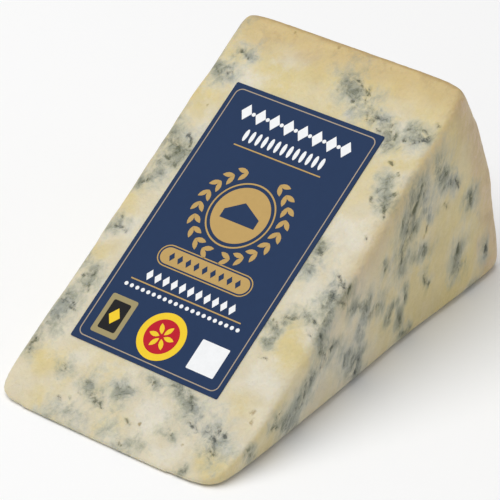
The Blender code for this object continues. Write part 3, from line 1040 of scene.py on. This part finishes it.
class CHEESE_OT_label_rows(bpy.types.Operator):
    """Prints the rows of lozenges, dots and rules that stand where a label has its words"""
    bl_idname = "cheese.label_rows"
    bl_label = "Label rows"

    def execute(self, context):
        settings = context.scene.label_settings
        white = print_material("White ink", settings.white)
        gold = print_material("Gold ink rules", settings.gold)
        rows = [straight_row(white, *row) for row in WHITE_ROWS]
        printed("label_white_rows", joined_meshes(rows), white)
        rules = [rounded_box(w, 0.28, 0.12, (0.0, y), 2) for w, y in ((22.0, 18.9), (28.0, -15.9))]
        printed("label_gold_rules", flat_mesh(rules), gold)
        return {"FINISHED"}


class CHEESE_OT_label_band(bpy.types.Operator):
    """Prints the gold band under the wreath, with its row of navy lozenges"""
    bl_idname = "cheese.label_band"
    bl_label = "Label band"

    def execute(self, context):
        settings = context.scene.label_settings
        gold = print_material("Gold ink band", settings.gold)
        navy = print_material("Navy ink lozenges", settings.navy)
        centre = (0.0, -8.6)
        edge = band_between(rounded_box(23.6, 5.0, 2.5, centre), rounded_box(23.1, 4.5, 2.25, centre))
        printed("label_band", flat_mesh([rounded_box(22.3, 3.8, 1.9, centre)] + edge), gold)
        row = straight_row(navy, 9, -8.6, 8.4, (1.3, 2.1), LOZENGE)
        printed("label_band_lozenges", row, navy, layer=1)
        return {"FINISHED"}


class CHEESE_OT_label_marks(bpy.types.Operator):
    """Prints the coloured shapes along the label's foot"""
    bl_idname = "cheese.label_marks"
    bl_label = "Label marks"

    def execute(self, context):
        settings = context.scene.label_settings
        inks = {
            name: print_material(name.title() + " ink mark", getattr(settings, name))
            for name in ("white", "red", "yellow", "sand", "black")
        }
        plate, round_mark, square = (-12.2, -24.8), (0.0, -24.8), (12.0, -25.2)
        lozenge = [(-12.2, -22.9), (-13.6, -24.8), (-12.2, -26.7), (-10.8, -24.8)]
        for name, ink, layer, outline in (
            ("label_plate", "sand", 0, rounded_box(6.6, 9.2, 0.5, plate, 3)),
            ("label_plate_field", "black", 1, rounded_box(4.4, 6.8, 0.4, plate, 3)),
            ("label_plate_lozenge", "yellow", 2, lozenge),
            ("label_square", "white", 0, rounded_box(6.8, 6.8, 0.2, square, 2)),
            ("label_disc", "yellow", 0, disc(5.4, round_mark)),
            ("label_disc_heart", "red", 1, disc(3.9, round_mark)),
        ):
            printed(name, flat_mesh([outline]), inks[ink], layer)
        petals = repeated_shapes(
            inks["yellow"], on_arc=True, Count=6, Radius=1.8, Start=0.0, End=math.radians(300),
            Length=2.5, Width=1.1, Lean=math.pi / 2, Steps=ROUND, Point=2.0,
        )
        petals.transform(Matrix.Translation((round_mark[0] * MM, round_mark[1] * MM, 0.0)))
        printed("label_disc_petals", petals, inks["yellow"], layer=2)
        return {"FINISHED"}


class CHEESE_OT_stage(bpy.types.Operator):
    """Sets the floor, the light and the camera"""
    bl_idname = "cheese.stage"
    bl_label = "Stage"

    def execute(self, context):
        settings = context.scene.stage_settings
        make_floor(settings)
        make_lights(context.scene)
        make_camera(settings)
        context.scene.view_settings.view_transform = "Standard"
        return {"FINISHED"}


def make_floor(settings):
    material, pen, shader = new_material("Pale floor")
    pen.feed_all(shader, {"Base Color": settings.floor, "Roughness": 0.9, "Specular IOR Level": 0.1})
    bm = bmesh.new()
    bmesh.ops.create_grid(bm, x_segments=1, y_segments=1, size=FLOOR_HALF_WIDTH)
    bm.transform(Matrix.Translation((0.0, 0.0, -FLOOR_BELOW_WEDGE)))
    mesh = mesh_from(bm, "floor")
    new_object("floor", mesh, material)


def make_area_light(name, place, size, power):
    light = bpy.data.lights.new(name, "AREA")
    light.shape = "DISK"
    light.size = size
    light.energy = power
    obj = bpy.data.objects.new(name, light)
    bpy.context.scene.collection.objects.link(obj)
    obj.location = place
    obj.rotation_euler = Vector(place).to_track_quat("Z", "Y").to_euler()


def make_lights(scene):
    world = bpy.data.worlds.new("Studio")
    world.use_nodes = True
    background = world.node_tree.nodes["Background"]
    background.inputs["Color"].default_value = (1.0, 1.0, 1.0, 1.0)
    background.inputs["Strength"].default_value = WORLD_STRENGTH
    scene.world = world
    for light in LIGHTS:
        make_area_light(*light)


def towards_camera(settings):
    """The direction from the wedge to the camera."""
    level = Vector((math.sin(settings.azimuth), -math.cos(settings.azimuth), 0.0))
    return level * math.cos(settings.elevation) + Vector((0.0, 0.0, math.sin(settings.elevation)))


def make_camera(settings):
    """The photo's view, aimed at a place over the table and moved sideways for its framing."""
    roll = settings.roll
    back = towards_camera(settings)
    right = Vector((math.cos(settings.azimuth), math.sin(settings.azimuth), 0.0))
    up = back.cross(right)
    leaning_right = math.cos(roll) * right + math.sin(roll) * up
    leaning_up = -math.sin(roll) * right + math.cos(roll) * up
    data = bpy.data.cameras.new("camera")
    data.lens = settings.lens
    data.clip_end = 20.0
    camera = bpy.data.objects.new("camera", data)
    bpy.context.scene.collection.objects.link(camera)
    place = VIEW_TARGET + back * settings.distance
    place += VIEW_SHIFT[0] * leaning_right + VIEW_SHIFT[1] * leaning_up
    turn = Matrix((leaning_right, leaning_up, back)).transposed().to_4x4()
    camera.matrix_world = Matrix.Translation(place) @ turn
    bpy.context.scene.camera = camera


OPERATORS = (
    CHEESE_OT_stage,
    CHEESE_OT_wedge,
    CHEESE_OT_label_paper,
    CHEESE_OT_label_frame,
    CHEESE_OT_label_wreath,
    CHEESE_OT_label_rows,
    CHEESE_OT_label_band,
    CHEESE_OT_label_marks,
)


class CHEESE_PT_panel(bpy.types.Panel):
    """Lists the wedge's pieces and their settings"""
    bl_idname = "CHEESE_PT_panel"
    bl_label = "Blue Cheese Wedge"
    bl_space_type = "VIEW_3D"
    bl_region_type = "UI"
    bl_category = "Cheese"

    def draw(self, context):
        for operator in OPERATORS:
            self.layout.operator(operator.bl_idname)
        for group in SETTINGS:
            settings = getattr(context.scene, group)
            box = self.layout.box()
            for name in settings.__annotations__:
                box.prop(settings, name)


SETTINGS = {
    "cheese_settings": CheeseSettings,
    "label_settings": LabelSettings,
    "stage_settings": StageSettings,
}
CLASSES = (*SETTINGS.values(), *OPERATORS, CHEESE_PT_panel)


def register():
    for cls in CLASSES:
        bpy.utils.register_class(cls)
    for name, group in SETTINGS.items():
        setattr(bpy.types.Scene, name, bpy.props.PointerProperty(type=group))


def unregister():
    for name in SETTINGS:
        delattr(bpy.types.Scene, name)
    for cls in reversed(CLASSES):
        bpy.utils.unregister_class(cls)


def main():
    register()
    bpy.ops.cheese.stage()
    bpy.ops.cheese.wedge()
    bpy.ops.cheese.label_paper()
    bpy.ops.cheese.label_frame()
    bpy.ops.cheese.label_wreath()
    bpy.ops.cheese.label_rows()
    bpy.ops.cheese.label_band()
    bpy.ops.cheese.label_marks()


if __name__ == "__main__":
    main()
